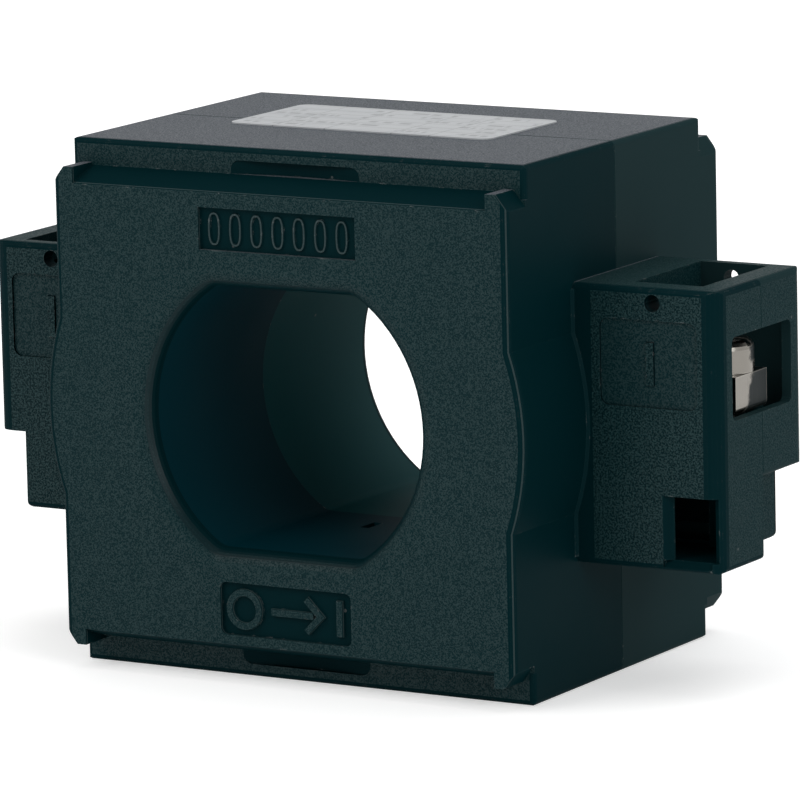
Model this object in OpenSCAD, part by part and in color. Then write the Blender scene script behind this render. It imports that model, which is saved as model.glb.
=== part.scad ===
// Window-type current transformer. Two alike moulded half-shells hold a taped
// ring core, and a screw terminal sits in a box on each side.
// X runs along the front face, Y along the conductor, Z up. The origin is on
// the resting face, under the window.

/* [Body] */
// Width across the flat side walls
body_w = 76; // [74:0.5:84]
// Height of the housing
body_h = 78; // [76:0.5:86]
// Depth over the plain top and bottom bands
band_d = 52.2; // [48:0.5:60]
// How far each face panel stands forward of the bands
panel_out = 5.5; // [4:0.25:8]
// Height of the plain band above and below each face panel
band_h = 3.5; // [3:0.25:5]
// How far the side walls bulge beside the ring
bulge = 2.2; // [1.5:0.1:3.5]
// Rounding of the face panel's side edges
panel_edge_r = 1; // [0.5:0.1:2]
// Rounding of the housing's long edges and band edges
body_edge_r = 0.8; // [0.4:0.1:1.5]
// Width of the corner bevel on a face panel
bevel_w = 1.9; // [1:0.1:3]
// Height of the corner bevel on a face panel
bevel_h = 2.4; // [1:0.1:4]
// Width of the upright rib that ends each sloped edge
rib_w = 1.5; // [1:0.1:3]
// Drop of the sloped edge at the band
slope_back = 0.4; // [0.2:0.1:1]
// Drop of the sloped edge at the face
slope_front = 2.4; // [1.5:0.1:4]
// Width of the bevel along the parting line
seam_bevel = 0.15; // [0.05:0.05:0.4]

/* [Latch notches] */
// Width of the notch in the middle of each band
notch_w = 21.6; // [14:0.2:30]
// Height of the notch
notch_h = 2; // [1:0.1:2.6]
// Depth of the notch at its middle
notch_deep = 1.1; // [0.6:0.1:1.4]
// Rounding of the notch's outer corners
notch_r = 1.4; // [0.5:0.1:1.8]

/* [Window] */
// Width of the window, across its round sides
window_w = 45; // [40:0.5:46]
// Height of the window, between its flats
window_h = 38.4; // [32:0.2:40]
// Rounding where the flats meet the round sides
window_corner_r = 3; // [1.5:0.25:5]
// Rounding of the window's mouth
mouth_r = 2.8; // [1.5:0.1:4]
// Width of the small slot in the window's floor
slot_x = 1.5; // [1:0.1:4]
// Length of that slot
slot_y = 4; // [2:0.5:10]
// Depth of that slot
slot_deep = 0.8; // [0.4:0.1:1.2]
// Distance from the parting line to the middle of that slot
slot_from_seam = 7; // [5.5:0.25:10]

/* [Face recesses] */
// Width of the upper recess for the number
number_w = 26.3; // [20:0.1:32]
// Height of the upper recess
number_h = 6.2; // [4:0.1:7]
// Width of the lower recess for the direction mark
mark_w = 22.1; // [16:0.1:28]
// Height of the lower recess
mark_h = 7.8; // [5:0.1:8.5]
// Height of both recesses' middles above and below the window's middle
recess_z = 27.8; // [27.5:0.1:28.5]
// Depth of both recesses
recess_deep = 0.7; // [0.3:0.1:1.2]

/* [Ring and winding] */
// Wall of the tube round the window
bore_wall = 2; // [1.5:0.1:2.5]
// Wall above and below the ring
crown_wall = 2; // [1.5:0.1:3]
// Least wall beside the ring, at the bulge
side_wall = 2; // [1.6:0.1:3.2]
// Wall between the ring chamber and the band faces
end_wall = 2.6; // [2.4:0.1:4]
// Wall behind a face panel, where the panel is hollow
face_wall = 2; // [1.6:0.1:3]
// Clearance between the taped ring and its chamber
ring_gap = 0.2; // [0.1:0.05:0.4]
// Thickness of the foam pad at each end of the ring
pad_t = 1.5; // [1:0.1:3]
// Thickness of the outer tape
tape_t = 0.4; // [0.2:0.1:0.8]
// Thickness of the secondary winding
winding_t = 1.8; // [1:0.1:2.5]
// Thickness of the insulating core caps
cap_t = 0.8; // [0.5:0.1:1.2]
// How far a core cap reaches along the core
cap_reach = 7; // [3:0.5:12]
// Clearance between one layer of the ring and the next
layer_gap = 0.05; // [0.02:0.01:0.1]

/* [Terminal boxes] */
// How far a box stands out from the side wall
box_out = 23.5; // [22.5:0.25:28]
// Depth of a box along the conductor
box_d = 26.4; // [24:0.4:32]
// Height of a box
box_h = 40.8; // [38:0.4:50]
// Wall of a box
box_wall = 1.5; // [1.2:0.1:2]
// Thickness of the box roof
roof_t = 4.2; // [3.6:0.1:5]
// Rounding of a box's upright corners
box_corner_r = 2.6; // [1:0.1:3.5]
// Rounding of a box's outer top and bottom edges
box_edge_r = 0.9; // [0.3:0.1:1.2]
// Bevel where a box meets the side wall
root_bevel = 0.4; // [0.2:0.1:0.8]
// How far the stepped half draws in below its step
step_in = 5; // [4:0.1:7]
// Height of the step above the box floor
step_up = 12; // [10:0.2:13]
// How far the stepped half stays above the box floor
step_lift = 0.4; // [0.2:0.1:1]

/* [Box openings] */
// Width of the screwdriver opening in the roof
roof_open_w = 11; // [10:0.1:11.4]
// How far that opening reaches from the parting line in the half with the cable entry
roof_open_front = 9; // [7:0.1:10]
// How far it reaches in the stepped half
roof_open_back = 10.8; // [7:0.1:11]
// Rim between that opening and the outer wall's face
roof_rim = 4.5; // [3:0.1:5]
// Length of the window in the outer wall
side_open_d = 18; // [12:0.2:19]
// Height of the window in the outer wall
side_open_h = 12.1; // [8:0.1:13]
// Bottom of that window, above the middle of the box
side_open_z = 1.2; // [0.8:0.1:2]
// Width of the cable entry
entry_w = 6.6; // [5:0.1:7]
// Height of the cable entry
entry_h = 9.4; // [7:0.1:9.6]
// Bevel on the cable entry's inner jamb and sill
entry_bevel = 1.2; // [0.6:0.1:1.3]
// Diameter of the sealing hole through the roof rims
seal_d = 2.5; // [2:0.1:3]
// Depth of the sealing hole's axis below the top of the box
seal_drop = 2.2; // [1.8:0.1:2.3]
// Distance of the sealing hole from the side wall
seal_x = 13; // [10:0.25:14]
// Distance of the marking recess from the side wall
tag_x = 4.4; // [3.5:0.1:5]
// Bottom of the marking recess above the middle of the box
tag_z = 3.1; // [2:0.1:3.4]
// Width of the marking recess on a box
tag_w = 15.7; // [12:0.1:16.5]
// Height of the marking recess
tag_h = 12.6; // [8:0.1:13]
// Corner radius of the marking recess
tag_r = 1.3; // [0.5:0.1:2]
// Depth of the marking recess
tag_deep = 0.4; // [0.2:0.1:0.6]

/* [Terminals] */
// Distance of the screw's axis from the side wall
screw_out = 17; // [16.5:0.1:17.2]
// Shank diameter of the screw
screw_d = 5; // [4:0.1:5.2]
// Head diameter of the screw
head_d = 9.4; // [8:0.1:9.6]
// Height of the screw's head
head_h = 4.8; // [3.6:0.1:5.2]
// Length of the shank under the head
shank_l = 10; // [8:0.5:12]
// Rounding of the head's top edge
head_edge_r = 1.4; // [0.4:0.1:1.8]
// Width of the slot and the cross in the head
slot_w = 1.3; // [1:0.1:1.5]
// Depth of the cross in the head
cross_h = 2; // [1.2:0.1:2.4]
// Depth of the slot across the head
slot_h = 1; // [0.6:0.1:1.1]
// Bevel at the tip of the shank
tip_bevel = 0.8; // [0.4:0.1:1.2]
// Side of the square clamp washer
clamp_s = 9.5; // [8.5:0.1:9.8]
// Thickness of the clamp washer
clamp_t = 2.2; // [1.2:0.1:2.4]
// Thickness of the lip that hangs in front of the terminal plate
lip_t = 1.1; // [1.1:0.1:1.4]
// Rounding of the lip's lower outer edge
lip_r = 0.9; // [0.3:0.1:1]
// Length of the lip below the clamp washer
lip_h = 3.4; // [2.5:0.1:4]
// Top of the terminal plate above the middle of the box
plate_z = 4.5; // [3.8:0.1:5]
// Thickness of the terminal plate
plate_t = 2; // [1.5:0.1:2.2]
// Width of the terminal plate
plate_w = 8.8; // [8:0.1:9.2]
// Wall of the threaded collar under the plate
collar_wall = 0.74; // [0.6:0.02:0.8]
// Length of the collar
collar_h = 2.5; // [1.5:0.1:3]
// Height of the solder tab at the plate's inner end
tab_h = 3.6; // [3:0.1:5]
// Thickness of the solder tab
tab_t = 1.2; // [0.8:0.1:1.6]
// Width of the solder tab
tab_w = 5; // [4:0.1:7]
// Running clearance of the screw in its collar and clamp, on the radius
screw_gap = 0.06; // [0.02:0.01:0.09]
// Clearance between flat faces that move on each other
seat_gap = 0.04; // [0.02:0.01:0.1]
// Clearance round pieces that drop into the moulding
fit_gap = 0.15; // [0.1:0.05:0.25]
// Thickness of the moulded shelf under the plate
shelf_t = 7; // [5:0.25:8]
// Width of the shelf
shelf_w = 12.4; // [11.6:0.1:13]
// Diameter of the winding's lead wire
wire_d = 1.4; // [0.8:0.1:1.8]
// Height of the lead wire above the terminal plate
wire_z = 1.6; // [1.3:0.1:1.9]
// Wall of the sleeve on the lead wire
sleeve_wall = 0.6; // [0.4:0.1:0.9]

/* [Rating label] */
// Length of the label
label_w = 44.8; // [30:0.2:60]
// Depth of the label
label_d = 20.8; // [12:0.2:30]
// Thickness of the label
label_t = 0.2; // [0.1:0.05:0.4]
// Corner radius of the label
label_r = 1.6; // [0.5:0.1:4]
// Offset of the label towards the left
label_left = 1.4; // [0:0.1:4]
// Offset of the label towards the back
label_back = 4.3; // [0:0.1:8]
// Slight turn of the label, as it was stuck on by hand
label_turn = -1.3; // [-3:0.1:3]

/* [Hidden] */
$fn = 72;
eps = 0.01;     // small overlap between joined solids
over = 1;       // how far a cutter runs past the face that it opens
seat = 0.5;     // how far a box reaches into the side wall

half_w = body_w/2;
half_h = body_h/2;
band_y = band_d/2;
face_y = band_y + panel_out;
panel_z = half_h - band_h;                      // top of a face panel
bulge_r = half_w + bulge;
bulge_z = sqrt(bulge_r*bulge_r - half_w*half_w);  // where the bulge meets the flat side wall
window_r = window_w/2;

cavity_ri = window_r + bore_wall;
cavity_ro = min(half_h - crown_wall, bulge_r - side_wall);
cavity_y = band_y - end_wall;
relief_ro = panel_z - slope_front - face_wall;  // hollow inside a face panel
relief_y = face_y - face_wall;
pack_y = cavity_y - pad_t;                      // end face of the taped ring
tape_ri = cavity_ri + ring_gap;
tape_ro = cavity_ro - ring_gap;
winding_in = tape_t + layer_gap;                // inset of each layer from the tape's outside
cap_in = winding_in + winding_t + layer_gap;
core_in = cap_in + cap_t + layer_gap;

box_x = half_w + box_out;                       // outer face of a box
box_y = box_d/2;
box_top = box_h/2;
hollow_x0 = bulge_r + box_wall;                 // inner end of the terminal chamber
hollow_x1 = box_x - box_wall;
hollow_y = box_y - box_wall;
roof_z = box_top - roof_t;
floor_z = box_wall - box_top;
step_z = step_up - box_top;
step_x = box_x - step_in;
screw_x = half_w + screw_out;
entry_x0 = hollow_x1 - entry_w;
seal_z = box_top - seal_drop;
roof_x1 = box_x - roof_rim;
rib_x = half_w - bevel_w - rib_w;               // where the sloped edges end
notch_z = panel_z - slope_back;

clamp_z = plate_z + seat_gap;                   // underside of the clamp at rest
head_z = clamp_z + clamp_t + seat_gap;          // underside of the screw's head at rest
collar_r = screw_d/2 + screw_gap + collar_wall;
lip_x = screw_x + clamp_s/2 - lip_t;
plate_x1 = lip_x - 2*fit_gap;
plate_x0 = hollow_x0 + 1;
shelf_top = plate_z - plate_t;
lead_z = plate_z + wire_z;                      // height of the lead wire's axis
sleeve_r = wire_d/2 + layer_gap + sleeve_wall;
lead_x0 = sqrt(pow(tape_ro - winding_in, 2) - lead_z*lead_z) + 2*layer_gap;
lead_x1 = plate_x0 + tab_t + 1;
cheek_h = 0.8;                                  // height of the shelf beside the plate
mark_r = 1;                                     // corners of the lower recess and the side windows
mouth_steps = 9;                                // facets across the rounding of the mouth

// Points along an arc from angle a to angle b
function arc(c, r, a, b, n = 4) = [for (i = [0:n]) c + r*[cos(a + (b - a)*i/n), sin(a + (b - a)*i/n)]];

// A rectangle with rounded corners
function round_rect(x0, y0, x1, y1, r) = concat(
    arc([x1 - r, y1 - r], r, 0, 90), arc([x0 + r, y1 - r], r, 90, 180),
    arc([x0 + r, y0 + r], r, 180, 270), arc([x1 - r, y0 + r], r, 270, 360));

// Extrusions of an outline drawn in (x, z), (x, y) and (y, z)
module along_y(y0, y1, pts) translate([0, y1, 0]) rotate([90, 0, 0]) linear_extrude(y1 - y0) polygon(pts);
module along_z(z0, z1, pts) translate([0, 0, z0]) linear_extrude(z1 - z0) polygon(pts);
module along_x(x0, x1, pts) translate([x0, 0, 0]) rotate([90, 0, 90]) linear_extrude(x1 - x0) polygon(pts);

// A turned solid about the window's axis, from its outline in (radius, y)
module about_y(pts) rotate([-90, 0, 0]) rotate_extrude() polygon(pts);

// A block between two corners
module block(a, b) translate(a) cube(b - a);

// A round bar along X or Y
module rod_x(x0, x1, r) translate([x0, 0, 0]) rotate([0, 90, 0]) cylinder(r = r, h = x1 - x0);
module rod_y(y0, y1, r) translate([0, y1, 0]) rotate([90, 0, 0]) cylinder(r = r, h = y1 - y0);

// Places children at the height of the window's middle
module at_middle() translate([0, 0, half_h]) children();

// Turns a right-hand or front piece into its twin
module twin() rotate([0, 0, 180]) children();

// Four copies, mirrored left to right and top to bottom
module four() for (i = [0, 1]) for (k = [0, 1]) mirror([i, 0, 0]) mirror([0, 0, k]) children();
module top_and_bottom() for (k = [0, 1]) mirror([0, 0, k]) children();

// Section of the waste that rounds a square edge at (x, y)
function rounding(x, y, r) = concat([[x + over, y - over], [x - r, y - over]],
    arc([x - r, y + r], r, 270, 360), [[x + over, y + r]]);

// Section of the waste that bevels the housing's top edge on the parting line
seam_waste = [[over, half_h + over], [over, half_h - seam_bevel], [0, half_h - seam_bevel],
    [-seam_bevel, half_h], [-seam_bevel, half_h + over]];

// Profile of the side wall of a front half in plan, at a distance x from the middle
function wall_profile(x) = concat([[x - seam_bevel, 0], [x, -seam_bevel]],
    arc([x - panel_edge_r, panel_edge_r - face_y], panel_edge_r, 360, 270));

// The front half of the housing with no openings: bands, face panel, side bulge
module half_block() difference() {
    wall = wall_profile(half_w);
    last = len(wall) - 1;
    union() {
        intersection() {
            along_z(-half_h - over, half_h + over,
                concat(wall, [for (i = [0:last]) [-wall[last - i].x, wall[last - i].y]]));
            along_y(-face_y - over, over, round_rect(-half_w, -half_h, half_w, half_h, body_edge_r));
        }
        intersection() {
            about_y(concat([[0, -face_y], [0, 0]], wall_profile(bulge_r)));
            block([-bulge_r - over, -face_y - over, -bulge_z - over], [bulge_r + over, over, bulge_z + over]);
        }
    }
    top_and_bottom() {
        along_x(-half_w - over, half_w + over, seam_waste);
        along_x(-half_w - over, half_w + over, band_step);
        sloped_edge();
        latch_notch();
    }
    four() panel_bevel();
    four() band_corner();
}

// Waste in front of a band, with the band's front edge rounded
band_step = concat([[-band_y, panel_z], [-face_y - over, panel_z], [-face_y - over, half_h + over],
    [body_edge_r - band_y, half_h + over]],
    arc([body_edge_r - band_y, half_h - body_edge_r], body_edge_r, 90, 180));

// Bevel on a corner of the face panel, cut on past the side wall and its bulge
module panel_bevel() {
    run = bevel_w + bulge + over;
    along_y(-face_y - over, -band_y, [[half_w - bevel_w, panel_z], [half_w - bevel_w, panel_z + over],
        [half_w - bevel_w + run, panel_z + over], [half_w - bevel_w + run, panel_z - run*bevel_h/bevel_w]]);
}

// Rounding of a band's upright end, down to where the panel's bevel passes it
module band_corner()
    along_z(panel_z - bevel_h*(bevel_w - body_edge_r)/bevel_w, half_h + over,
        rounding(half_w, -band_y, body_edge_r));

// Slope between the ribs, from the band down to the face
module sloped_edge() {
    fall = (slope_front - slope_back)/panel_out;
    along_x(-rib_x, rib_x, [[-band_y, panel_z - slope_back], [-band_y, panel_z + over],
        [-face_y - over, panel_z + over], [-face_y - over, panel_z - slope_front - fall*over]]);
}

// Notch in the middle of a band, hollowed to an arc
module latch_notch() {
    x = notch_w/2;
    z = notch_z + notch_h;
    r = (x*x + notch_deep*notch_deep)/(2*notch_deep);
    intersection() {
        along_y(-band_y - over, notch_deep - band_y, concat([[-x, notch_z], [x, notch_z]],
            arc([x - notch_r, z - notch_r], notch_r, 0, 90),
            arc([notch_r - x, z - notch_r], notch_r, 90, 180)));
        translate([0, notch_deep - band_y - r, 0]) cylinder(r = r, h = half_h, $fn = 240);
    }
}

// Outline of a cutter that widens a hole of radius r towards the face, in (radius, y)
function flare(r) = concat([[0, over], [0, -face_y - over], [r + mouth_r, -face_y - over]],
    [for (i = [0:mouth_steps]) let (a = 90*i/mouth_steps)
        [r + mouth_r*(1 - sin(a)), mouth_r*(1 - cos(a)) - face_y]], [[r, over]]);

// The window: round sides, two flats, rounded corners and a rounded mouth
module window_cut() {
    cr = window_corner_r;
    cz = window_h/2 - cr;
    cx = sqrt(pow(window_r - cr, 2) - cz*cz);
    far = 2*half_w;
    // the round sides, between the corners
    intersection() {
        about_y(flare(window_r));
        along_y(-face_y - over, over, [[0, 0], [far*cx, far*cz], [far*cx, -far*cz]]);
    }
    intersection() {
        about_y(flare(window_r));
        along_y(-face_y - over, over, [[0, 0], [-far*cx, -far*cz], [-far*cx, far*cz]]);
    }
    // the flats, with the block between them
    half = [for (p = flare(window_h/2)) [p.y, p.x]];
    top_and_bottom() along_x(-cx, cx, half);
    // the corners
    four() translate([cx, 0, cz]) about_y(flare(cr));
    // small slot in the floor, beside the parting line
    block([-slot_x/2, -slot_from_seam - slot_y/2, -window_h/2 - slot_deep],
        [slot_x/2, slot_y/2 - slot_from_seam, 0]);
}

// A ring round the window's axis
module ring(ri, ro, y0, y1) difference() {
    rod_y(y0, y1, ro);
    rod_y(y0 - over, y1 + over, ri);
}

// The two recesses that frame the marks on a face
module face_recesses() {
    block([-number_w/2, -face_y - over, recess_z - number_h/2],
        [number_w/2, recess_deep - face_y, recess_z + number_h/2]);
    along_y(-face_y - over, recess_deep - face_y,
        round_rect(-mark_w/2, -recess_z - mark_h/2, mark_w/2, mark_h/2 - recess_z, mark_r));
}

// Outline of a terminal box in plan, at its front half
box_plan = concat([[half_w - seat, 0], [half_w - seat, -box_y]],
    arc([box_x - box_corner_r, box_corner_r - box_y], box_corner_r, 270, 360, 6),
    [[box_x, -seam_bevel], [box_x - seam_bevel, 0]]);

// Outline of a box seen from the front: full, or drawn in below a step
function box_front(stepped) = let (c = box_edge_r, x0 = half_w - over, top = box_top)
    concat(arc([box_x - c, top - c], c, 0, 90), [[x0, top]],
        stepped ? concat([[x0, step_lift - top]], arc([step_x - c, step_lift + c - top], c, 270, 360),
            [[step_x, step_z]], arc([box_x - c, step_z + c], c, 270, 360))
        : concat([[x0, -top]], arc([box_x - c, c - top], c, 270, 360)));

// Profile of a box from the side, at its front half
function box_side(stepped) = let (c = box_edge_r, low = stepped ? step_lift - box_top : -box_top)
    concat([[over, low], [over, box_top]], arc([c - box_y, box_top - c], c, 90, 180),
        arc([c - box_y, low + c], c, 180, 270));

// Bevel where the box's front wall meets the side wall and its bulge
module root_flare() {
    section = [[-root_bevel, 0], [root_bevel, 0], [-root_bevel, -2*root_bevel]];
    intersection() {
        union() {
            along_z(box_edge_r - box_top, box_top - box_edge_r,
                [for (p = section) [half_w + p.x, p.y - box_y + eps]]);
            about_y([for (p = section) [bulge_r + p.x, p.y - box_y + eps]]);
        }
        block([half_w - eps, -band_y, -box_top], [bulge_r + root_bevel + over, 0, box_top]);
    }
}

// What is hollow inside a half of a box
module box_hollow(stepped) {
    low_x1 = stepped ? step_x - box_wall : hollow_x1 - entry_w;
    low_z = stepped ? floor_z + step_lift : floor_z;
    block([hollow_x0, -hollow_y, step_z + box_wall], [hollow_x1, over, roof_z]);
    block([hollow_x0, -hollow_y, low_z], [low_x1, over, roof_z]);
    if (!stepped) block([hollow_x0, -hollow_y, low_z], [hollow_x1, -box_wall, roof_z]);
    block([roof_x1 - roof_open_w, stepped ? -roof_open_back : -roof_open_front, roof_z - over],
        [roof_x1, over, box_top + over]);
    along_x(hollow_x1 - over, box_x + over, round_rect(-side_open_d/2, side_open_z, side_open_d/2,
        side_open_z + side_open_h, mark_r));
    translate([half_w + seal_x, 0, seal_z]) rod_y(-box_y - over, over, seal_d/2);
    along_y(-box_y - over, tag_deep - box_y,
        round_rect(half_w + tag_x, tag_z, half_w + tag_x + tag_w, tag_z + tag_h, tag_r));
}

// Cable entry in the front wall, with a bevelled jamb and sill
module cable_entry() {
    x0 = hollow_x1 - entry_w;
    b = entry_bevel;
    block([x0, -box_y - over, floor_z], [hollow_x1, -hollow_y + over, floor_z + entry_h]);
    along_z(floor_z, floor_z + entry_h,
        [[x0 + eps, b - box_y], [x0 - b - over, -box_y - over], [x0 + eps, -box_y - over]]);
    // the outer wall's end beside the entry, cut back to its inner face
    along_z(floor_z, floor_z + entry_h, [[hollow_x1 - eps, -hollow_y], [hollow_x1 - eps, -box_y - over],
        [box_x + over, -box_y - over], [box_x + over/2, -box_y]]);
    along_x(x0 - b, hollow_x1,
        [[b - box_y, floor_z + eps], [-box_y - over, floor_z - b - over], [-box_y - over, floor_z + eps]]);
}

// Shelf that carries the terminal plate, with a slot for the plate's collar
module shelf() {
    low = shelf_top - shelf_t;
    slot_r = collar_r + fit_gap;
    difference() {
        block([half_w, -shelf_w/2, low], [plate_x1, 0, shelf_top + cheek_h]);
        block([half_w - over, -plate_w/2 - fit_gap, shelf_top], [plate_x1 + over, over, clamp_z]);
        translate([screw_x, 0, low - over]) cylinder(r = slot_r, h = shelf_t + 2*over);
        block([screw_x, -slot_r, low - over], [plate_x1 + over, over, shelf_top + over]);
    }
}

// The front half of the right-hand box
module box_half(stepped) {
    difference() {
        intersection() {
            along_z(-box_top - over, box_top + over, box_plan);
            along_y(-box_y - over, over, box_front(stepped));
            along_x(half_w - over, box_x + over, box_side(stepped));
        }
        box_hollow(stepped);
        if (!stepped) cable_entry();
    }
    shelf();
    root_flare();
}

// One moulded half of the housing
module shell() at_middle() difference() {
    union() {
        difference() {
            half_block();
            window_cut();
            ring(cavity_ri, cavity_ro, -cavity_y, over);
            ring(cavity_ri, relief_ro, -relief_y, -cavity_y + over);
            face_recesses();
        }
        box_half(false);
        mirror([1, 0, 0]) box_half(true);
    }
    // lead holes through the wall between the ring and each box
    for (i = [0, 1]) mirror([i, 0, 0]) translate([0, 0, lead_z])
        rod_x(cavity_ro - 2*over, hollow_x0 + over, sleeve_r + fit_gap);
}

module front_shell() color([0.13, 0.19, 0.2]) shell();
module rear_shell() color([0.13, 0.19, 0.2]) twin() shell();

module rating_label() color([0.79, 0.8, 0.81])
    translate([-label_left, label_back, body_h]) rotate([0, 0, label_turn])
        along_z(0, label_t, round_rect(-label_w/2, -label_d/2, label_w/2, label_d/2, label_r));

// Strip-wound core of silicon steel
module ring_core() color([0.45, 0.46, 0.48]) at_middle()
    ring(tape_ri + core_in, tape_ro - core_in, core_in - pack_y, pack_y - core_in);

// Insulating cap on an end of the core, with a skirt inside and outside
module core_cap() at_middle() {
    y0 = cap_in - pack_y;
    ring(tape_ri + cap_in, tape_ro - cap_in, y0, y0 + cap_t);
    ring(tape_ri + cap_in, tape_ri + cap_in + cap_t, y0, y0 + cap_t + cap_reach);
    ring(tape_ro - cap_in - cap_t, tape_ro - cap_in, y0, y0 + cap_t + cap_reach);
}
module front_core_cap() color([0.85, 0.82, 0.72]) core_cap();
module rear_core_cap() color([0.85, 0.82, 0.72]) twin() core_cap();

// Copper winding, wound through the ring all the way round
module secondary_winding() color([0.72, 0.38, 0.2]) at_middle() difference() {
    ring(tape_ri + winding_in, tape_ro - winding_in, winding_in - pack_y, pack_y - winding_in);
    ring(tape_ri + winding_in + winding_t, tape_ro - winding_in - winding_t,
        winding_in + winding_t - pack_y, pack_y - winding_in - winding_t);
}

// Tape over the whole winding, with a hole for each lead
module winding_tape() color([0.9, 0.75, 0.2]) at_middle() difference() {
    ring(tape_ri, tape_ro, -pack_y, pack_y);
    ring(tape_ri + tape_t, tape_ro - tape_t, tape_t - pack_y, pack_y - tape_t);
    translate([0, 0, lead_z]) rod_x(-bulge_r, bulge_r, sleeve_r + layer_gap);
}

// Foam pad between the taped ring and the end of its chamber
module pad() at_middle() ring(tape_ri, tape_ro, -cavity_y, -pack_y);
module front_pad() color([0.3, 0.3, 0.32]) pad();
module rear_pad() color([0.3, 0.3, 0.32]) twin() pad();

module right_lead() color([0.75, 0.42, 0.25]) at_middle()
    translate([0, 0, lead_z]) rod_x(lead_x0, lead_x1, wire_d/2);
module left_lead() twin() right_lead();

module right_lead_sleeve() color([0.7, 0.1, 0.1]) at_middle() translate([0, 0, lead_z]) difference() {
    rod_x(lead_x0 + layer_gap, plate_x0 - layer_gap, sleeve_r);
    rod_x(lead_x0 - over, plate_x0 + over, wire_d/2 + layer_gap);
}
module left_lead_sleeve() twin() right_lead_sleeve();

// Plate with a threaded collar, a solder tab and a clear hole for the screw
module right_terminal_plate() color([0.78, 0.77, 0.74]) at_middle() difference() {
    union() {
        block([plate_x0, -plate_w/2, shelf_top], [plate_x1, plate_w/2, plate_z]);
        block([plate_x0, -tab_w/2, plate_z - eps], [plate_x0 + tab_t, tab_w/2, plate_z + tab_h]);
        translate([screw_x, 0, shelf_top - collar_h]) cylinder(r = collar_r, h = collar_h + eps);
    }
    translate([screw_x, 0, shelf_top - collar_h - over])
        cylinder(r = screw_d/2 + screw_gap, h = collar_h + plate_t + 2*over);
    translate([0, 0, lead_z]) rod_x(plate_x0 - over, plate_x0 + tab_t + over, wire_d/2 + layer_gap);
}
module left_terminal_plate() twin() right_terminal_plate();

// Square clamp washer with a lip that hangs over the plate's end
module right_clamp() color([0.8, 0.79, 0.76]) at_middle() translate([screw_x, 0, 0]) {
    s = clamp_s/2;
    difference() {
        union() {
            block([-s, -s, clamp_z], [s, s, clamp_z + clamp_t]);
            along_y(-s, s, concat([[s - lip_t, clamp_z + eps], [s - lip_t, clamp_z - lip_h]],
                arc([s - lip_r, clamp_z - lip_h + lip_r], lip_r, 270, 360, 6), [[s, clamp_z + eps]]));
        }
        translate([0, 0, clamp_z - over]) cylinder(r = screw_d/2 + screw_gap, h = clamp_t + 2*over);
    }
}
module left_clamp() twin() right_clamp();

// Captive screw: rounded head with a cross and a slot, plain shank, pointed tip
module right_screw() color([0.82, 0.81, 0.78]) at_middle() translate([screw_x, 0, head_z]) {
    r = head_d/2;
    difference() {
        rotate_extrude() polygon(concat([[0, 0], [r, 0]],
            arc([r - head_edge_r, head_h - head_edge_r], head_edge_r, 0, 90), [[0, head_h]]));
        block([-r - over, -slot_w/2, head_h - slot_h], [r + over, slot_w/2, head_h + over]);
        for (a = [0, 90]) rotate(a)
            block([-r/2, -slot_w/2, head_h - cross_h], [r/2, slot_w/2, head_h + over]);
    }
    rotate_extrude() polygon([[0, eps], [screw_d/2, eps], [screw_d/2, tip_bevel - shank_l],
        [screw_d/2 - tip_bevel, -shank_l], [0, -shank_l]]);
}
module left_screw() twin() right_screw();

front_shell();
rear_shell();
rating_label();
ring_core();
front_core_cap();
rear_core_cap();
secondary_winding();
winding_tape();
front_pad();
rear_pad();
right_lead();
left_lead();
right_lead_sleeve();
left_lead_sleeve();
right_terminal_plate();
left_terminal_plate();
right_clamp();
left_clamp();
right_screw();
left_screw();
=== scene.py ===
import math
import bpy
from mathutils import Matrix, Vector


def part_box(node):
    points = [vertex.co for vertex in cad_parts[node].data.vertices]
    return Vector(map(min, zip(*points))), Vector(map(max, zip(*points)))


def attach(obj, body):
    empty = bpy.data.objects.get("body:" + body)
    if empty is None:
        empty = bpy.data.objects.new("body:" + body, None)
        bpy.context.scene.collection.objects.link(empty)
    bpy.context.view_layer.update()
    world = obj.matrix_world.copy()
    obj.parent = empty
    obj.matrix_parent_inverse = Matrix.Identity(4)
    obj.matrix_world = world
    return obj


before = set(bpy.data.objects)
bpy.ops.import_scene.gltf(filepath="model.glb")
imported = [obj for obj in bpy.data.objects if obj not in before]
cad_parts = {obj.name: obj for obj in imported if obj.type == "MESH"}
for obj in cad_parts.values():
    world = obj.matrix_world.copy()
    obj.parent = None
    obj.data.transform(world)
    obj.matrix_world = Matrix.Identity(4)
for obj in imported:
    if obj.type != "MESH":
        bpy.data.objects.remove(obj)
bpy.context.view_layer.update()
print("frame loaded:", len(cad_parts), "nodes")

# places taken from the solids, in metres
frontLow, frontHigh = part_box("front_shell")
labelLow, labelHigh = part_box("rating_label")
middleZ = (frontLow.z + frontHigh.z) / 2    # height of the window's middle
faceOut = -frontLow.y                       # front panel, from the parting line
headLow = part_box("right_clamp")[1].z        # top of the clamps, where the screws' heads start

# features of the moulding that the materials and the marks follow
moulding = dict(
    mouthRadius=0.0256,     # just outside the rolled edge of the window, at its round sides
    mouthHeight=0.0223,     # the same at its flats
    mouthDeep=0.0027,       # how far the rolled edge reaches into the window
    recessDeep=0.0007,      # the recesses above and below the window
    numberRise=0.00035,     # the figures, from the floor of their recess
    boxFace=0.0132,         # front wall of a terminal box, from the parting line
    tagDeep=0.0004,         # the tags on the terminal boxes
    slack=0.0001,           # how near to a floor or a top still counts as on it
)
recessFloor = faceOut - moulding["recessDeep"]
tagFloor = moulding["boxFace"] - moulding["tagDeep"]


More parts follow.
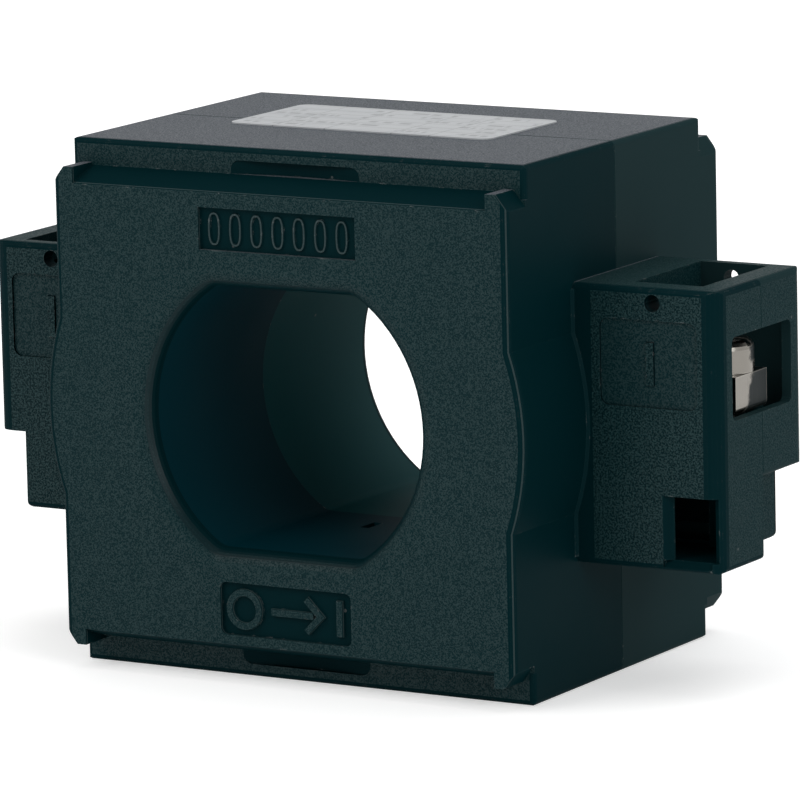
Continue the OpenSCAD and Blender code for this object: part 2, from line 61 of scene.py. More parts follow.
# node helpers: an input named i0, i1 and so on goes by its number
def addNode(tree, kind, settings=None, **inputs):
    node = tree.nodes.new(kind)
    for name, value in (settings or {}).items():
        setattr(node, name, value)
    for name, value in inputs.items():
        key = int(name[1:]) if name[0] == "i" and name[1:].isdigit() else name
        if isinstance(value, bpy.types.NodeSocket):
            tree.links.new(value, node.inputs[key])
        else:
            node.inputs[key].default_value = value
    return node


def calc(tree, operation, a, b=0.0, c=0.0, clamp=False):
    settings = {"operation": operation, "use_clamp": clamp}
    return addNode(tree, "ShaderNodeMath", settings, i0=a, i1=b, i2=c).outputs[0]


def product(tree, first, *others):
    for other in others:
        first = calc(tree, "MULTIPLY", first, other)
    return first


def total(tree, a, b):
    return calc(tree, "ADD", a, b)


def larger(tree, a, b):
    return calc(tree, "MAXIMUM", a, b)


def unsigned(tree, value):
    return calc(tree, "ABSOLUTE", value)


def over(tree, value, limit):
    return calc(tree, "GREATER_THAN", value, limit)


def under(tree, value, limit):
    return calc(tree, "LESS_THAN", value, limit)


def near(tree, value, target, slack):
    return calc(tree, "COMPARE", value, target, slack)


def outside(tree, mask):
    return calc(tree, "SUBTRACT", 1.0, mask)


def fromAxis(tree, across, up):
    squares = total(tree, product(tree, across, across), product(tree, up, up))
    return calc(tree, "SQRT", squares)


def step(tree, value, low, high):
    node = addNode(tree, "ShaderNodeMapRange", {"interpolation_type": "SMOOTHSTEP"}, Value=value)
    node.inputs["From Min"].default_value = low
    node.inputs["From Max"].default_value = high
    return node.outputs["Result"]


def mixColor(tree, amount, a, b):
    a, b = ((*color, 1) if isinstance(color, tuple) else color for color in (a, b))
    return addNode(tree, "ShaderNodeMix", {"data_type": "RGBA"}, i0=amount, i6=a, i7=b).outputs[2]


def mixValue(tree, amount, a, b):
    return addNode(tree, "ShaderNodeMix", {"data_type": "FLOAT"}, i0=amount, i2=a, i3=b).outputs[0]


def separate(tree, vector):
    return addNode(tree, "ShaderNodeSeparateXYZ", i0=vector).outputs


def noise(tree, vector, scale, detail, roughness=0.5):
    return addNode(tree, "ShaderNodeTexNoise", Vector=vector, Scale=scale, Detail=detail,
                   Roughness=roughness).outputs["Fac"]


def newGroup(name, inputs, outputs):
    tree = bpy.data.node_groups.new(name, "ShaderNodeTree")
    for label in inputs:
        kind = "NodeSocketVector" if label == "Vector" else "NodeSocketFloat"
        tree.interface.new_socket(label, in_out="INPUT", socket_type=kind)
    for label in outputs:
        tree.interface.new_socket(label, in_out="OUTPUT", socket_type="NodeSocketFloat")
    return tree, tree.nodes.new("NodeGroupInput").outputs, tree.nodes.new("NodeGroupOutput").inputs


def useGroup(tree, group, **inputs):
    return addNode(tree, "ShaderNodeGroup", {"node_tree": group}, **inputs).outputs


grainShape = dict(hillRatio=1.7, detail=2.0, roughness=0.6, pitShare=0.6, fleck=(0.40, 0.62))


def buildMouldGrain(grain):
    tree, given, result = newGroup("mouldGrain", ["Vector", "Scale"], ["Height", "Fleck"])
    pits = addNode(tree, "ShaderNodeTexVoronoi", Vector=given["Vector"], Scale=given["Scale"])
    hillScale = product(tree, given["Scale"], grain["hillRatio"])
    hills = noise(tree, given["Vector"], hillScale, grain["detail"], grain["roughness"])
    shallow = product(tree, pits.outputs["Distance"], grain["pitShare"])
    tree.links.new(total(tree, shallow, hills), result["Height"])
    tree.links.new(step(tree, hills, *grain["fleck"]), result["Fleck"])
    return tree


# painted highlight: edges, and patches along them, are painted lighter as if light caught them
glintShape = dict(samples=2, gain=5.0, detail=4.0, roughness=0.7, glintPatch=(0.56, 0.70))


# an edge is where a rounded normal parts from the true one
def buildEdgeGlint(glint):
    tree, given, result = newGroup("edgeGlint", ["Vector", "Width", "Scale"], ["Edge", "GlintPatches"])
    rounded = addNode(tree, "ShaderNodeBevel", {"samples": glint["samples"]}, Radius=given["Width"])
    true = addNode(tree, "ShaderNodeNewGeometry").outputs["Normal"]
    match = addNode(tree, "ShaderNodeVectorMath", {"operation": "DOT_PRODUCT"},
                    i0=rounded.outputs[0], i1=true)
    parted = outside(tree, match.outputs["Value"])
    edge = calc(tree, "MULTIPLY", parted, glint["gain"], clamp=True)
    patches = noise(tree, given["Vector"], given["Scale"], glint["detail"], glint["roughness"])
    tree.links.new(edge, result["Edge"])
    tree.links.new(product(tree, edge, step(tree, patches, *glint["glintPatch"])), result["GlintPatches"])
    return tree


dustShape = dict(largest=0.16, hazeScale=60.0, hazeDetail=3.0, haze=(0.4, 0.7))


# a share of the cells holds a speck each, of its own size
def buildDust(specks):
    tree, given, result = newGroup("dust", ["Vector", "Scale", "Amount"], ["Specks", "Haze"])
    cells = addNode(tree, "ShaderNodeTexVoronoi", Vector=given["Vector"], Scale=given["Scale"])
    lot = addNode(tree, "ShaderNodeSeparateColor", Color=cells.outputs["Color"]).outputs
    size = product(tree, lot[1], lot[1], specks["largest"])
    inside = under(tree, cells.outputs["Distance"], size)
    chosen = under(tree, lot[0], given["Amount"])
    haze = noise(tree, given["Vector"], specks["hazeScale"], specks["hazeDetail"])
    tree.links.new(product(tree, inside, chosen), result["Specks"])
    tree.links.new(step(tree, haze, *specks["haze"]), result["Haze"])
    return tree


mouldGrain = buildMouldGrain(grainShape)
edgeGlint = buildEdgeGlint(glintShape)
dust = buildDust(dustShape)
print("effect groups built")


def newMaterial(name):
    material = bpy.data.materials.new(name)
    material.use_nodes = True
    tree = material.node_tree
    tree.nodes.clear()
    shader = tree.nodes.new("ShaderNodeBsdfPrincipled")
    output = tree.nodes.new("ShaderNodeOutputMaterial")
    tree.links.new(shader.outputs[0], output.inputs["Surface"])
    return material, tree, shader


def finishSurface(tree, shader, color, rough, height, strength, depth):
    bump = addNode(tree, "ShaderNodeBump", Height=height, Strength=strength, Distance=depth)
    tree.links.new(color, shader.inputs["Base Color"])
    tree.links.new(rough, shader.inputs["Roughness"])
    tree.links.new(bump.outputs[0], shader.inputs["Normal"])


housingLook = dict(
    # colours: deep teal where the mould is smooth, with paler flecks where it is grained
    smoothColor=(0.0006, 0.0140, 0.0170),
    # painted light: the rear shell is painted paler than the front, for the light and reflection it
    # catches from behind
    rearPaintedLight=(0.0095, 0.0270, 0.0295),
    panelColor=(0.0020, 0.0170, 0.0200),
    panelPale=(0.0090, 0.0310, 0.0335),
    boxColor=(0.0008, 0.0125, 0.0150),
    boxPale=(0.0110, 0.0380, 0.0405),
    # painted reflection, partly dust: the top faces are painted grey for the pale room they mirror at a
    # grazing view; the box roofs are a little paler than the panel
    topDustAndGlare=(0.064, 0.073, 0.084),
    topPaleDustAndGlare=(0.108, 0.120, 0.136),
    roofPale=(0.0150, 0.0360, 0.0385),
    boreColor=(0.0001, 0.0230, 0.0320),
    # painted light: the rear half of the bore is paler, and paler still towards its end
    boreRearLit=(0.0010, 0.0480, 0.0530),
    boreEndLit=(0.0300, 0.0720, 0.0760),
    # painted highlight: the tops of the raised figures are lighter than the panel
    numberHighlight=(0.030, 0.050, 0.052),
    # painted shade: the steep edges of the tag recesses are near black
    creaseShade=(0.0001, 0.0030, 0.0040),
    # painted highlight colours for the edges and the patches along them
    edgeHighlight=(0.014, 0.042, 0.046),
    glintPatchColor=(0.36, 0.37, 0.36),
    dustColor=(0.13, 0.14, 0.14),
    # where the zones lie
    boxStart=0.0410,        # terminal boxes, from the middle
    boxDepth=0.0125,        # their front and rear walls, from the parting line
    roofStart=0.0383,       # their roofs, just outside the side wall
    faceStart=0.0255,       # face panels, from the parting line
    boreLightFade=0.0390,        # painted light: the bore is painted paler over this length of the rear half, for light coming in from behind
    creaseReach=0.00015,    # a tag's edge, either way from its middle
    # how squarely a surface faces out where its zone begins and where it is full
    flat=(0.990, 0.999),
    upward=(0.970, 0.998),
    rim=(0.60, 0.88),
    roll=(0.30, 0.62),
    steep=0.5,              # a tag's edge faces out less than this
    # finish
    smoothRoughness=0.55,
    panelRoughness=0.60,
    boxRoughness=0.50,
    hazeRoughness=0.05,
    specular=0.01,
    sheenRoughness=0.40,
    smoothSheen=0.03,
    grainSheen=0.10,
    fleckSheen=0.24,
    wallSheen=0.45,
    mouthSheen=0.32,
    panelGrain=2600.0,
    boxGrain=2100.0,
    panelRelief=0.5,
    boxRelief=1.3,
    reliefDepth=0.00012,
    # painted highlight along the edges, and dust
    edgeWidth=0.0003,
    glintScale=700.0,
    edgeShare=0.35,
    glintPatchShare=0.45,
    dustScale=520.0,
    dustAmount=0.03,
    dustShare=0.45,
)


# each zone is a mask: 1 on it and 0 away from it
def findHousingZones(tree, look):
    where = addNode(tree, "ShaderNodeTexCoord").outputs
    x, y, z = separate(tree, where["Object"])
    facingX, facingY, facingZ = separate(tree, where["Normal"])
    aside, away, frontal = unsigned(tree, x), unsigned(tree, y), unsigned(tree, facingY)
    up = calc(tree, "SUBTRACT", z, middleZ)
    flatSide = step(tree, unsigned(tree, facingX), *look["flat"])
    flatFront = step(tree, frontal, *look["flat"])
    onBox = over(tree, aside, look["boxStart"])
    onFace = over(tree, away, look["faceStart"])
    onRecess = near(tree, away, recessFloor, moulding["slack"])
    onTag = near(tree, away, tagFloor, moulding["slack"])

    window = product(tree, under(tree, fromAxis(tree, x, up), moulding["mouthRadius"]),
                     under(tree, unsigned(tree, up), moulding["mouthHeight"]))
    mouth = product(tree, window, over(tree, away, faceOut - moulding["mouthDeep"]))
    rim = product(tree, mouth, step(tree, frontal, *look["rim"]))
    roll = product(tree, mouth, step(tree, frontal, *look["roll"]))

    box = product(tree, onBox, flatFront, over(tree, away, look["boxDepth"]), outside(tree, onTag))
    wall = product(tree, flatSide, onBox)
    panel = larger(tree, product(tree, larger(tree, flatFront, rim), onFace), wall)
    panel = larger(tree, panel, product(tree, onTag, onBox, flatFront))
    panel = product(tree, panel, outside(tree, onRecess))
    top = product(tree, step(tree, facingZ, *look["upward"]), over(tree, z, middleZ))

    numberTop = near(tree, away, recessFloor + moulding["numberRise"], moulding["slack"])
    tagEdge = near(tree, away, tagFloor + moulding["tagDeep"] / 2, look["creaseReach"])
    return where["Object"], {
        "window": window,
        "bore": calc(tree, "SUBTRACT", window, mouth),
        "roll": roll,
        "box": box,
        "wall": wall,
        "panel": panel,
        "top": top,
        "roof": over(tree, aside, look["roofStart"]),
        "rear": over(tree, y, 0.0),
        "boreLightFade": step(tree, y, 0.0, look["boreLightFade"]),
        "number": product(tree, numberTop, onFace, outside(tree, window)),
        "crease": product(tree, tagEdge, under(tree, frontal, look["steep"]), onBox),
    }


def paintHousing(tree, look, zones, fine, coarse, glint, grit):
    # painted light: the rear half is paler than the front
    plain = mixColor(tree, zones["rear"], look["smoothColor"], look["rearPaintedLight"])
    # painted light coming into the bore from behind
    boreRearLit = mixColor(tree, zones["boreLightFade"], look["boreRearLit"], look["boreEndLit"])
    inBore = mixColor(tree, zones["rear"], look["boreColor"], boreRearLit)
    color = mixColor(tree, zones["bore"], plain, inBore)
    onPanel = mixColor(tree, fine["Fleck"], look["panelColor"], look["panelPale"])
    color = mixColor(tree, zones["panel"], color, onPanel)
    # painted reflection, partly dust, on the top faces, milder on the box roofs
    onLid = mixColor(tree, fine["Fleck"], look["topDustAndGlare"], look["topPaleDustAndGlare"])
    onRoof = mixColor(tree, fine["Fleck"], look["panelPale"], look["roofPale"])
    color = mixColor(tree, zones["top"], color, mixColor(tree, zones["roof"], onLid, onRoof))
    onBox = mixColor(tree, coarse["Fleck"], look["boxColor"], look["boxPale"])
    color = mixColor(tree, zones["box"], color, onBox)
    # painted highlight on the tops of the figures
    color = mixColor(tree, zones["number"], color, look["numberHighlight"])
    # painted shade along the edges of the tag recesses
    color = mixColor(tree, zones["crease"], color, look["creaseShade"])
    # painted highlight on the edges and in patches along them
    color = mixColor(tree, product(tree, glint["Edge"], look["edgeShare"]), color, look["edgeHighlight"])
    color = mixColor(tree, product(tree, glint["GlintPatches"], look["glintPatchShare"]), color, look["glintPatchColor"])
    return mixColor(tree, product(tree, grit["Specks"], look["dustShare"]), color, look["dustColor"])


# the coat stands for the soft sheen of the grained zones and of the window's rolled edge
def findHousingSheen(tree, look, zones, grained, fine, coarse):
    fleck = mixValue(tree, zones["box"], fine["Fleck"], coarse["Fleck"])
    sparkle = total(tree, product(tree, fleck, look["fleckSheen"]), look["grainSheen"])
    sparkle = product(tree, sparkle, mixValue(tree, zones["wall"], 1.0, look["wallSheen"]))
    onRoll = product(tree, zones["roll"], look["mouthSheen"])
    sheen = mixValue(tree, zones["window"], look["smoothSheen"], onRoll)
    return mixValue(tree, larger(tree, grained, zones["box"]), sheen, sparkle)


def buildHousingMaterial(look):
    material, tree, shader = newMaterial("mouldedPlastic")
    place, zones = findHousingZones(tree, look)
    grained = larger(tree, zones["panel"], zones["top"])
    fine = useGroup(tree, mouldGrain, Vector=place, Scale=look["panelGrain"])
    coarse = useGroup(tree, mouldGrain, Vector=place, Scale=look["boxGrain"])
    glint = useGroup(tree, edgeGlint, Vector=place, Width=look["edgeWidth"], Scale=look["glintScale"])
    grit = useGroup(tree, dust, Vector=place, Scale=look["dustScale"], Amount=look["dustAmount"])
    color = paintHousing(tree, look, zones, fine, coarse, glint, grit)
    rough = mixValue(tree, grained, look["smoothRoughness"], look["panelRoughness"])
    rough = mixValue(tree, zones["box"], rough, look["boxRoughness"])
    rough = total(tree, rough, product(tree, grit["Haze"], look["hazeRoughness"]))
    relief = total(tree, product(tree, fine["Height"], grained, look["panelRelief"]),
                   product(tree, coarse["Height"], zones["box"], look["boxRelief"]))
    finishSurface(tree, shader, color, rough, relief, 1.0, look["reliefDepth"])
    sheen = findHousingSheen(tree, look, zones, grained, fine, coarse)
    tree.links.new(sheen, shader.inputs["Coat Weight"])
    shader.inputs["Coat Roughness"].default_value = look["sheenRoughness"]
    shader.inputs["Specular IOR Level"].default_value = look["specular"]
    return material


nickelLook = dict(
    color=(0.225, 0.212, 0.190),
    paintedShade=(0.003, 0.008, 0.009),         # painted shade and dark reflection on the half of each terminal away from its cable entry
    bright=(0.50, 0.47, 0.42),
    roughness=0.22,
    shadeRoughness=0.36,
    shadeMetal=0.1,
    specular=0.1,
    patchScale=420.0,
    patchDetail=4.0,
    patchRoughness=0.65,
    wander=0.005,                       # how far the border of the painted shade strays with the patches
    screwBorder=(-0.0006, 0.0006),
    screwLip=(0.00120, 0.00192),        # the head's painted shade starts above this band, leaving a painted highlight at its foot
    plateBorder=(-0.0002, 0.0012),
    slant=0.45,                         # how far that border leans over on the plates and clamps
    edgeWidth=0.0003,
    edgeScale=1500.0,
    edgeShare=0.5,
    scratchScale=(400.0, 3000.0, 400.0),
    scratchDetail=2.0,
    scratchRelief=0.12,
    threadPitch=0.0008,
    threadRelief=4.0,
    reliefDepth=0.0001,
)


def buildNickelMaterial(name, look, threaded):
    material, tree, shader = newMaterial(name)
    place = addNode(tree, "ShaderNodeTexCoord").outputs["Object"]
    x, y, z = separate(tree, place)
    patches = noise(tree, place, look["patchScale"], look["patchDetail"], look["patchRoughness"])
    stray = product(tree, calc(tree, "SUBTRACT", patches, 0.5), look["wander"])
    away = total(tree, product(tree, y, calc(tree, "SIGN", x)), stray)
    if threaded:
        low, high = look["screwLip"]
        shaded = product(tree, step(tree, away, *look["screwBorder"]),
                         step(tree, z, headLow + low, headLow + high))
    else:
        below = product(tree, calc(tree, "SUBTRACT", headLow, z), look["slant"])
        shaded = step(tree, total(tree, away, below), *look["plateBorder"])
    glint = useGroup(tree, edgeGlint, Vector=place, Width=look["edgeWidth"], Scale=look["edgeScale"])
    # painted shade and dark reflection: the half away from the cable entry is dark and hardly metallic
    color = mixColor(tree, shaded, look["color"], look["paintedShade"])
    # painted highlight along the edges of the metal
    color = mixColor(tree, product(tree, glint["Edge"], look["edgeShare"]), color, look["bright"])
    rough = mixValue(tree, shaded, look["roughness"], look["shadeRoughness"])
    stretched = addNode(tree, "ShaderNodeVectorMath", {"operation": "MULTIPLY"}, i0=place,
                        i1=look["scratchScale"]).outputs[0]
    scratches = noise(tree, stretched, 1.0, look["scratchDetail"])
    height = product(tree, scratches, look["scratchRelief"])
    if threaded:
        crest = calc(tree, "PINGPONG", calc(tree, "DIVIDE", z, look["threadPitch"]), 0.5)
        onShank = under(tree, z, headLow)
        height = total(tree, height, product(tree, crest, onShank, look["threadRelief"]))
    finishSurface(tree, shader, color, rough, height, 1.0, look["reliefDepth"])
    metal = mixValue(tree, shaded, 1.0, look["shadeMetal"])
    tree.links.new(metal, shader.inputs["Metallic"])
    shader.inputs["Specular IOR Level"].default_value = look["specular"]
    return material


labelLook = dict(
    paper=(0.43, 0.445, 0.46),
    ink=(0.15, 0.16, 0.17),
    shade=(0.36, 0.38, 0.40),
    turn=-1.3,                      # degrees that the label sits askew
    rows=6,
    rowPitch=0.0032,
    line=0.00016,
    columns=(-0.0145, -0.0055, 0.0060, 0.0125),
    margin=0.0008,
    lineInk=0.8,
    cellShade=0.35,                 # every other row is tinted left of the second column
    dashScale=1100.0,
    dashLimit=0.47,
    groupScale=190.0,
    groupLimit=0.50,
    rowShift=3.7,                   # sets each row's dashes apart from the next row's
    dashHeight=0.31,
    dashInk=0.55,
    soilScale=180.0,
    soilDetail=5.0,
    soilRoughness=0.7,
    soil=(0.45, 0.80),
    soilShare=0.3,
    roughness=0.35,
    soiledRoughness=0.2,
    relief=0.15,
    reliefDepth=0.00005,
)


# plain dashes in loose groups stand for the small print
def printDashes(tree, look, x, rowPlace):
    rowNumber = product(tree, calc(tree, "FLOOR", rowPlace), look["rowShift"])
    printed = []
    for scale, limit in (("dashScale", "dashLimit"), ("groupScale", "groupLimit")):
        place = addNode(tree, "ShaderNodeCombineXYZ", i0=product(tree, x, look[scale]), i1=rowNumber)
        printed.append(over(tree, noise(tree, place.outputs[0], 1.0, 0.0), look[limit]))
    inRow = over(tree, calc(tree, "PINGPONG", rowPlace, 0.5), look["dashHeight"])
    return product(tree, *printed, inRow)


def buildLabelMaterial(look):
    material, tree, shader = newMaterial("ruledLabel")
    place = addNode(tree, "ShaderNodeTexCoord").outputs["Object"]
    turned = addNode(tree, "ShaderNodeMapping", {"vector_type": "TEXTURE"}, Vector=place,
                     Location=(labelLow + labelHigh) / 2, Rotation=(0, 0, math.radians(look["turn"])))
    x, y, _ = separate(tree, turned.outputs[0])
    halfWidth = (labelHigh.x - labelLow.x) / 2 - look["margin"]
    inMargin = under(tree, unsigned(tree, x), halfWidth)
    firstRow = look["rowPitch"] * look["rows"] / 2
    rowPlace = calc(tree, "DIVIDE", total(tree, y, firstRow), look["rowPitch"])
    fromRow = product(tree, calc(tree, "PINGPONG", rowPlace, 0.5), look["rowPitch"])
    ruled = under(tree, fromRow, look["line"] / 2)
    for column in look["columns"]:
        fromColumn = unsigned(tree, calc(tree, "SUBTRACT", x, column))
        ruled = larger(tree, ruled, under(tree, fromColumn, look["line"] / 2))
    ruled = product(tree, ruled, inMargin)
    oddRow = over(tree, calc(tree, "PINGPONG", rowPlace, 1.0), 0.5)
    tinted = product(tree, oddRow, under(tree, x, look["columns"][1]), look["cellShade"])
    dashes = product(tree, printDashes(tree, look, x, rowPlace), inMargin)
    soiled = noise(tree, place, look["soilScale"], look["soilDetail"], look["soilRoughness"])
    color = mixColor(tree, tinted, look["paper"], look["shade"])
    color = mixColor(tree, product(tree, dashes, look["dashInk"]), color, look["ink"])
    color = mixColor(tree, product(tree, ruled, look["lineInk"]), color, look["ink"])
    soil = product(tree, step(tree, soiled, *look["soil"]), look["soilShare"])
    color = mixColor(tree, soil, color, look["shade"])
    rough = total(tree, product(tree, soiled, look["soiledRoughness"]), look["roughness"])
    finishSurface(tree, shader, color, rough, soiled, look["relief"], look["reliefDepth"])
    return material


# what lies inside: turns of wire or tape cross the ring, and layers lie round it
innerLooks = {
    "ring_core": dict(color=(0.30, 0.31, 0.33), other=(0.17, 0.18, 0.19), rough=0.4, metal=1.0,
                      layers=0.0003, depth=0.00003),
    "front_core_cap": dict(color=(0.72, 0.68, 0.55), other=(0.55, 0.52, 0.42), rough=0.55, metal=0.0,
                           depth=0.00002),
    "secondary_winding": dict(color=(0.55, 0.20, 0.07), other=(0.34, 0.11, 0.04), rough=0.3, metal=0.9,
                              turns=190, depth=0.00030),
    "winding_tape": dict(color=(0.62, 0.40, 0.06), other=(0.48, 0.29, 0.05), rough=0.25, metal=0.0,
                         turns=44, depth=0.00005),
    "front_pad": dict(color=(0.030, 0.031, 0.034), other=(0.015, 0.015, 0.017), rough=0.95, metal=0.0,
                      depth=0.00030),
    "right_lead": dict(color=(0.62, 0.45, 0.33), other=(0.45, 0.30, 0.20), rough=0.3, metal=1.0,
                       depth=0.00002),
    "right_lead_sleeve": dict(color=(0.32, 0.03, 0.02), other=(0.20, 0.02, 0.015), rough=0.6, metal=0.0,
                              layers=0.0004, depth=0.00004),
}
innerShape = dict(mottleScale=450.0, mottleDetail=5.0, mottleRoughness=0.65, mottle=(0.35, 0.65),
                  mottleOnTurns=0.2, mottleOnLayers=0.4, turnRelief=2.0, roughSpread=0.15, roughShift=0.07)


def buildInnerMaterial(name, look, shape):
    material, tree, shader = newMaterial(name)
    place = addNode(tree, "ShaderNodeTexCoord").outputs["Object"]
    mottle = noise(tree, place, shape["mottleScale"], shape["mottleDetail"], shape["mottleRoughness"])
    x, _, z = separate(tree, place)
    up = calc(tree, "SUBTRACT", z, middleZ)
    height = mottle
    if "turns" in look:
        turn = product(tree, calc(tree, "ARCTAN2", x, up), look["turns"] / (2 * math.pi))
        ridge = product(tree, calc(tree, "PINGPONG", turn, 0.5), shape["turnRelief"])
        height = total(tree, ridge, product(tree, mottle, shape["mottleOnTurns"]))
    elif "layers" in look:
        layer = calc(tree, "DIVIDE", fromAxis(tree, x, up), look["layers"])
        ridge = calc(tree, "PINGPONG", layer, 0.5)
        height = total(tree, ridge, product(tree, mottle, shape["mottleOnLayers"]))
    color = mixColor(tree, step(tree, mottle, *shape["mottle"]), look["color"], look["other"])
    spread = product(tree, mottle, shape["roughSpread"])
    rough = calc(tree, "ADD", spread, look["rough"] - shape["roughShift"], clamp=True)
    finishSurface(tree, shader, color, rough, height, 1.0, look["depth"])
    shader.inputs["Metallic"].default_value = look["metal"]
    return material


def dress(nodeName, material):
    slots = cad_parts[nodeName].data.materials
    for i in range(len(slots)):
        slots[i] = material


plastic = buildHousingMaterial(housingLook)
nickelPlate = buildNickelMaterial("nickelPlate", nickelLook, False)
nickelScrew = buildNickelMaterial("nickelScrew", nickelLook, True)
dress("front_shell", plastic)
dress("rear_shell", plastic)
dress("rating_label", buildLabelMaterial(labelLook))
for side in ("right", "left"):
    dress(side + "_screw", nickelScrew)
    dress(side + "_clamp", nickelPlate)
    dress(side + "_terminal_plate", nickelPlate)

# the rear and left pieces share the finish of their twins
twins = {"front_core_cap": "rear_core_cap", "front_pad": "rear_pad", "right_lead": "left_lead",
         "right_lead_sleeve": "left_lead_sleeve"}
for name, look in innerLooks.items():
    inner = buildInnerMaterial(name + "Finish", look, innerShape)
    dress(name, inner)
    if name in twins:
        dress(twins[name], inner)
print("materials placed")


# a low rib along a flat path, with sloped flanks, and sloped ends where the path is open
def raisedStrip(path, closed, width, rise, draft):
    count = len(path)
    points = [Vector(p) for p in path]
    sections = []
    for i, p in enumerate(points):
        before = points[i - 1] if closed or i else p
        after = points[(i + 1) % count] if closed or i < count - 1 else p
        arriving, leaving = (p - before).normalized(), (after - p).normalized()
        if before == p:
            arriving = leaving
        if after == p:
            leaving = arriving
        along = (arriving + leaving).normalized()
        side = Vector((-along.y, along.x))
        stretch = 1 / max(0.5, along.dot(arriving))     # keeps the width round a corner
        foot = Vector((0, 0))
        if before == p:
            foot = -draft * arriving
        if after == p:
            foot = draft * arriving
        low, high = side * (width / 2) * stretch, side * (width / 2 - draft) * stretch
        sections.append([(p + foot + low, 0), (p + high, rise), (p - high, rise), (p + foot - low, 0)])
    verts = [corner for section in sections for corner in section]
    faces = []
    for i in range(count if closed else count - 1):
        j = (i + 1) % count
        for k in range(4):
            m = (k + 1) % 4
            faces.append((4 * i + k, 4 * i + m, 4 * j + m, 4 * j + k))
    if not closed:
        last = 4 * (count - 1)
        faces += [(0, 3, 2, 1), (last, last + 1, last + 2, last + 3)]
    return verts, faces


def joinStrips(strips):
    verts, faces = [], []
    for stripVerts, stripFaces in strips:
        base = len(verts)
        verts += stripVerts
        faces += [tuple(base + i for i in face) for face in stripFaces]
    return verts, faces


def makePiece(name, verts, faces):
    mesh = bpy.data.meshes.new(name)
    mesh.from_pydata(verts, [], faces)
    mesh.validate()
    mesh.update()
    mesh.materials.append(plastic)
    piece = bpy.data.objects.new(name, mesh)
    bpy.context.scene.collection.objects.link(piece)
    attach(piece, "housing")


# the strips stand on a front floor, and a copy turned round stands on the rear
def addMarks(frontName, rearName, strips, up, floorOut):
    flatVerts, faces = joinStrips(strips)
    placed = [(p.x, -floorOut - lift, middleZ + up + p.y) for p, lift in flatVerts]
    makePiece(frontName, placed, faces)
    makePiece(rearName, [(-x, -y, z) for x, y, z in placed], faces)


def ovalPath(halfWidth, halfHeight, power, steps):
    path = []
    for i in range(steps):
        angle = 2 * math.pi * i / steps
        c, s = math.cos(angle), math.sin(angle)
        path.append((halfWidth * math.copysign(abs(c) ** power, c),
                     halfHeight * math.copysign(abs(s) ** power, s)))
    return path


numberRow = dict(count=7, pitch=0.00357, width=0.0017, height=0.0045, squareness=0.75, steps=24,
                 up=0.0278, stroke=dict(width=0.00042, rise=moulding["numberRise"], draft=0.0001))


def addNumberRow(row):
    oval = ovalPath(row["width"] / 2, row["height"] / 2, row["squareness"], row["steps"])
    strips = []
    for i in range(row["count"]):
        shift = (i - (row["count"] - 1) / 2) * row["pitch"]
        strips.append(raisedStrip([(x + shift, y) for x, y in oval], True, **row["stroke"]))
    addMarks("frontNumberRow", "rearNumberRow", strips, row["up"], recessFloor)


directionMark = dict(ringX=-0.0071, ringRadius=0.0025, ringSteps=32, arrowStart=-0.0025, arrowEnd=0.0058,
                     barb=0.0024, barX=0.0090, barHalf=0.0026, up=-0.0278,
                     stroke=dict(width=0.00125, rise=0.0006, draft=0.00015))


# a ring, an arrow and a bar: which way the conductor passes through
def addDirectionMark(mark):
    stroke, tip, barb = mark["stroke"], mark["arrowEnd"], mark["barb"]
    circle = ovalPath(mark["ringRadius"], mark["ringRadius"], 1.0, mark["ringSteps"])
    ring = [(x + mark["ringX"], y) for x, y in circle]
    shaft = [(mark["arrowStart"], 0), (tip - stroke["width"], 0)]
    head = [(tip - barb, barb), (tip, 0), (tip - barb, -barb)]
    bar = [(mark["barX"], -mark["barHalf"]), (mark["barX"], mark["barHalf"])]
    strips = [raisedStrip(ring, True, **stroke)]
    strips += [raisedStrip(path, False, **stroke) for path in (shaft, head, bar)]
    addMarks("frontDirectionMark", "rearDirectionMark", strips, mark["up"], recessFloor)


tagMark = dict(barHalf=0.0031, right=(0.0504,), left=(-0.0513, -0.0491), up=0.0094,
               stroke=dict(width=0.0014, rise=0.0003, draft=0.0001))


# one bar on the right tag and two on the left, each with its copy on the rear
def addTagMarks(mark):
    half = mark["barHalf"]
    for side, opposite in (("right", "Left"), ("left", "Right")):
        bars = [raisedStrip([(x, -half), (x, half)], False, **mark["stroke"]) for x in mark[side]]
        addMarks(side + "TagMark", "rear" + opposite + "TagMark", bars, mark["up"], tagFloor)


addNumberRow(numberRow)
addDirectionMark(directionMark)
addTagMarks(tagMark)
print("raised marks added")


studio = dict(
    floorSize=6.0,
    floorColor=(0.80, 0.80, 0.80),
    floorGlow=0.45,             # lifts the floor to white, but keeps the shadow on it
    ambient=0.5,
    backdrop=1.0,               # what the camera and reflections see of the room
    ceiling=0.10,
    ceilingFade=(0.22, 0.65),
)
lamps = {
    "keyLight": dict(place=(-0.9, -1.3, 1.5), size=1.2, power=13.0, color=(1.0, 0.99, 0.97)),
    "fillLight": dict(place=(1.5, -0.75, 0.75), size=0.8, power=7.0, color=(0.96, 0.98, 1.0)),
    "topLight": dict(place=(0.1, 0.5, 1.8), size=1.6, power=14.0, color=(1.0, 1.0, 1.0)),
}
white = (1, 1, 1, 1)


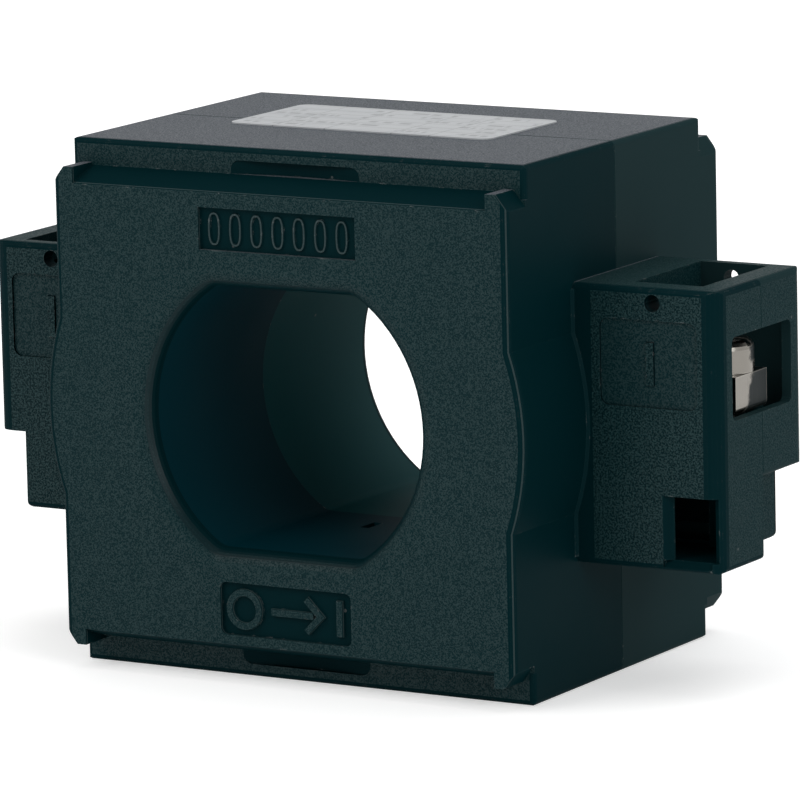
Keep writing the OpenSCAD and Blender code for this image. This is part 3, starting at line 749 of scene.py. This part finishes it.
def buildFloor(settings):
    half = settings["floorSize"] / 2
    mesh = bpy.data.meshes.new("floor")
    mesh.from_pydata([(-half, -half, 0), (half, -half, 0), (half, half, 0), (-half, half, 0)], [],
                     [(0, 1, 2, 3)])
    floor = bpy.data.objects.new("floor", mesh)
    bpy.context.scene.collection.objects.link(floor)
    material = bpy.data.materials.new("paleFloor")
    material.use_nodes = True
    tree = material.node_tree
    tree.nodes.clear()
    matt = addNode(tree, "ShaderNodeBsdfDiffuse", Color=(*settings["floorColor"], 1)).outputs[0]
    glow = addNode(tree, "ShaderNodeEmission", Color=white, Strength=settings["floorGlow"]).outputs[0]
    bright = addNode(tree, "ShaderNodeAddShader", i0=matt, i1=glow).outputs[0]
    seen = addNode(tree, "ShaderNodeLightPath").outputs
    direct = larger(tree, seen["Is Camera Ray"], seen["Is Glossy Ray"])
    mixed = addNode(tree, "ShaderNodeMixShader", i0=direct, i1=matt, i2=bright).outputs[0]
    addNode(tree, "ShaderNodeOutputMaterial", Surface=mixed)
    mesh.materials.append(material)


def buildWorld(settings):
    world = bpy.data.worlds.new("studioWorld")
    bpy.context.scene.world = world
    world.use_nodes = True
    tree = world.node_tree
    tree.nodes.clear()
    seen = addNode(tree, "ShaderNodeLightPath").outputs
    mirrored = larger(tree, seen["Is Glossy Ray"], seen["Is Transmission Ray"])
    direct = larger(tree, seen["Is Camera Ray"], mirrored)
    height = separate(tree, addNode(tree, "ShaderNodeTexCoord").outputs["Generated"])[2]
    fade = step(tree, height, *settings["ceilingFade"])
    glare = mixValue(tree, fade, settings["backdrop"], settings["ceiling"])
    ambient = addNode(tree, "ShaderNodeBackground", Color=white, Strength=settings["ambient"]).outputs[0]
    room = addNode(tree, "ShaderNodeBackground", Color=white, Strength=glare).outputs[0]
    mixed = addNode(tree, "ShaderNodeMixShader", i0=direct, i1=ambient, i2=room).outputs[0]
    addNode(tree, "ShaderNodeOutputWorld", Surface=mixed)


def addLamp(name, lamp):
    light = bpy.data.lights.new(name, "AREA")
    light.size = lamp["size"]
    light.energy = lamp["power"]
    light.color = lamp["color"]
    shining = bpy.data.objects.new(name, light)
    shining.location = lamp["place"]
    aim = Vector((0, 0, middleZ)) - Vector(lamp["place"])
    shining.rotation_euler = aim.to_track_quat("-Z", "Y").to_euler()
    bpy.context.scene.collection.objects.link(shining)


buildFloor(studio)
buildWorld(studio)
for name, lamp in lamps.items():
    addLamp(name, lamp)
print("studio lit")


# degrees, metres and millimetres of lens; right and up shift the view from the window's middle
shot = dict(turn=30.829, rise=10.277, roll=-1.278, distance=1.0442, right=0.001057, up=-0.001628,
            lens=318.7, sensor=36.0, nearest=0.05, farthest=50.0)


def addCamera(view):
    data = bpy.data.cameras.new("camera")
    data.sensor_width = view["sensor"]
    data.lens = view["lens"]
    data.clip_start = view["nearest"]
    data.clip_end = view["farthest"]
    camera = bpy.data.objects.new("camera", data)
    turn, rise, roll = (math.radians(view[angle]) for angle in ("turn", "rise", "roll"))
    facing = Matrix.Rotation(turn, 3, "Z") @ Matrix.Rotation(math.pi / 2 - rise, 3, "X")
    facing = facing @ Matrix.Rotation(roll, 3, "Z")
    aim = Vector((0, 0, middleZ)) + facing @ Vector((view["right"], view["up"], 0))
    place = aim + facing @ Vector((0, 0, view["distance"]))
    camera.matrix_world = Matrix.Translation(place) @ facing.to_4x4()
    bpy.context.scene.collection.objects.link(camera)
    bpy.context.scene.camera = camera


addCamera(shot)
bpy.context.scene.view_settings.view_transform = "Standard"
print("camera placed")
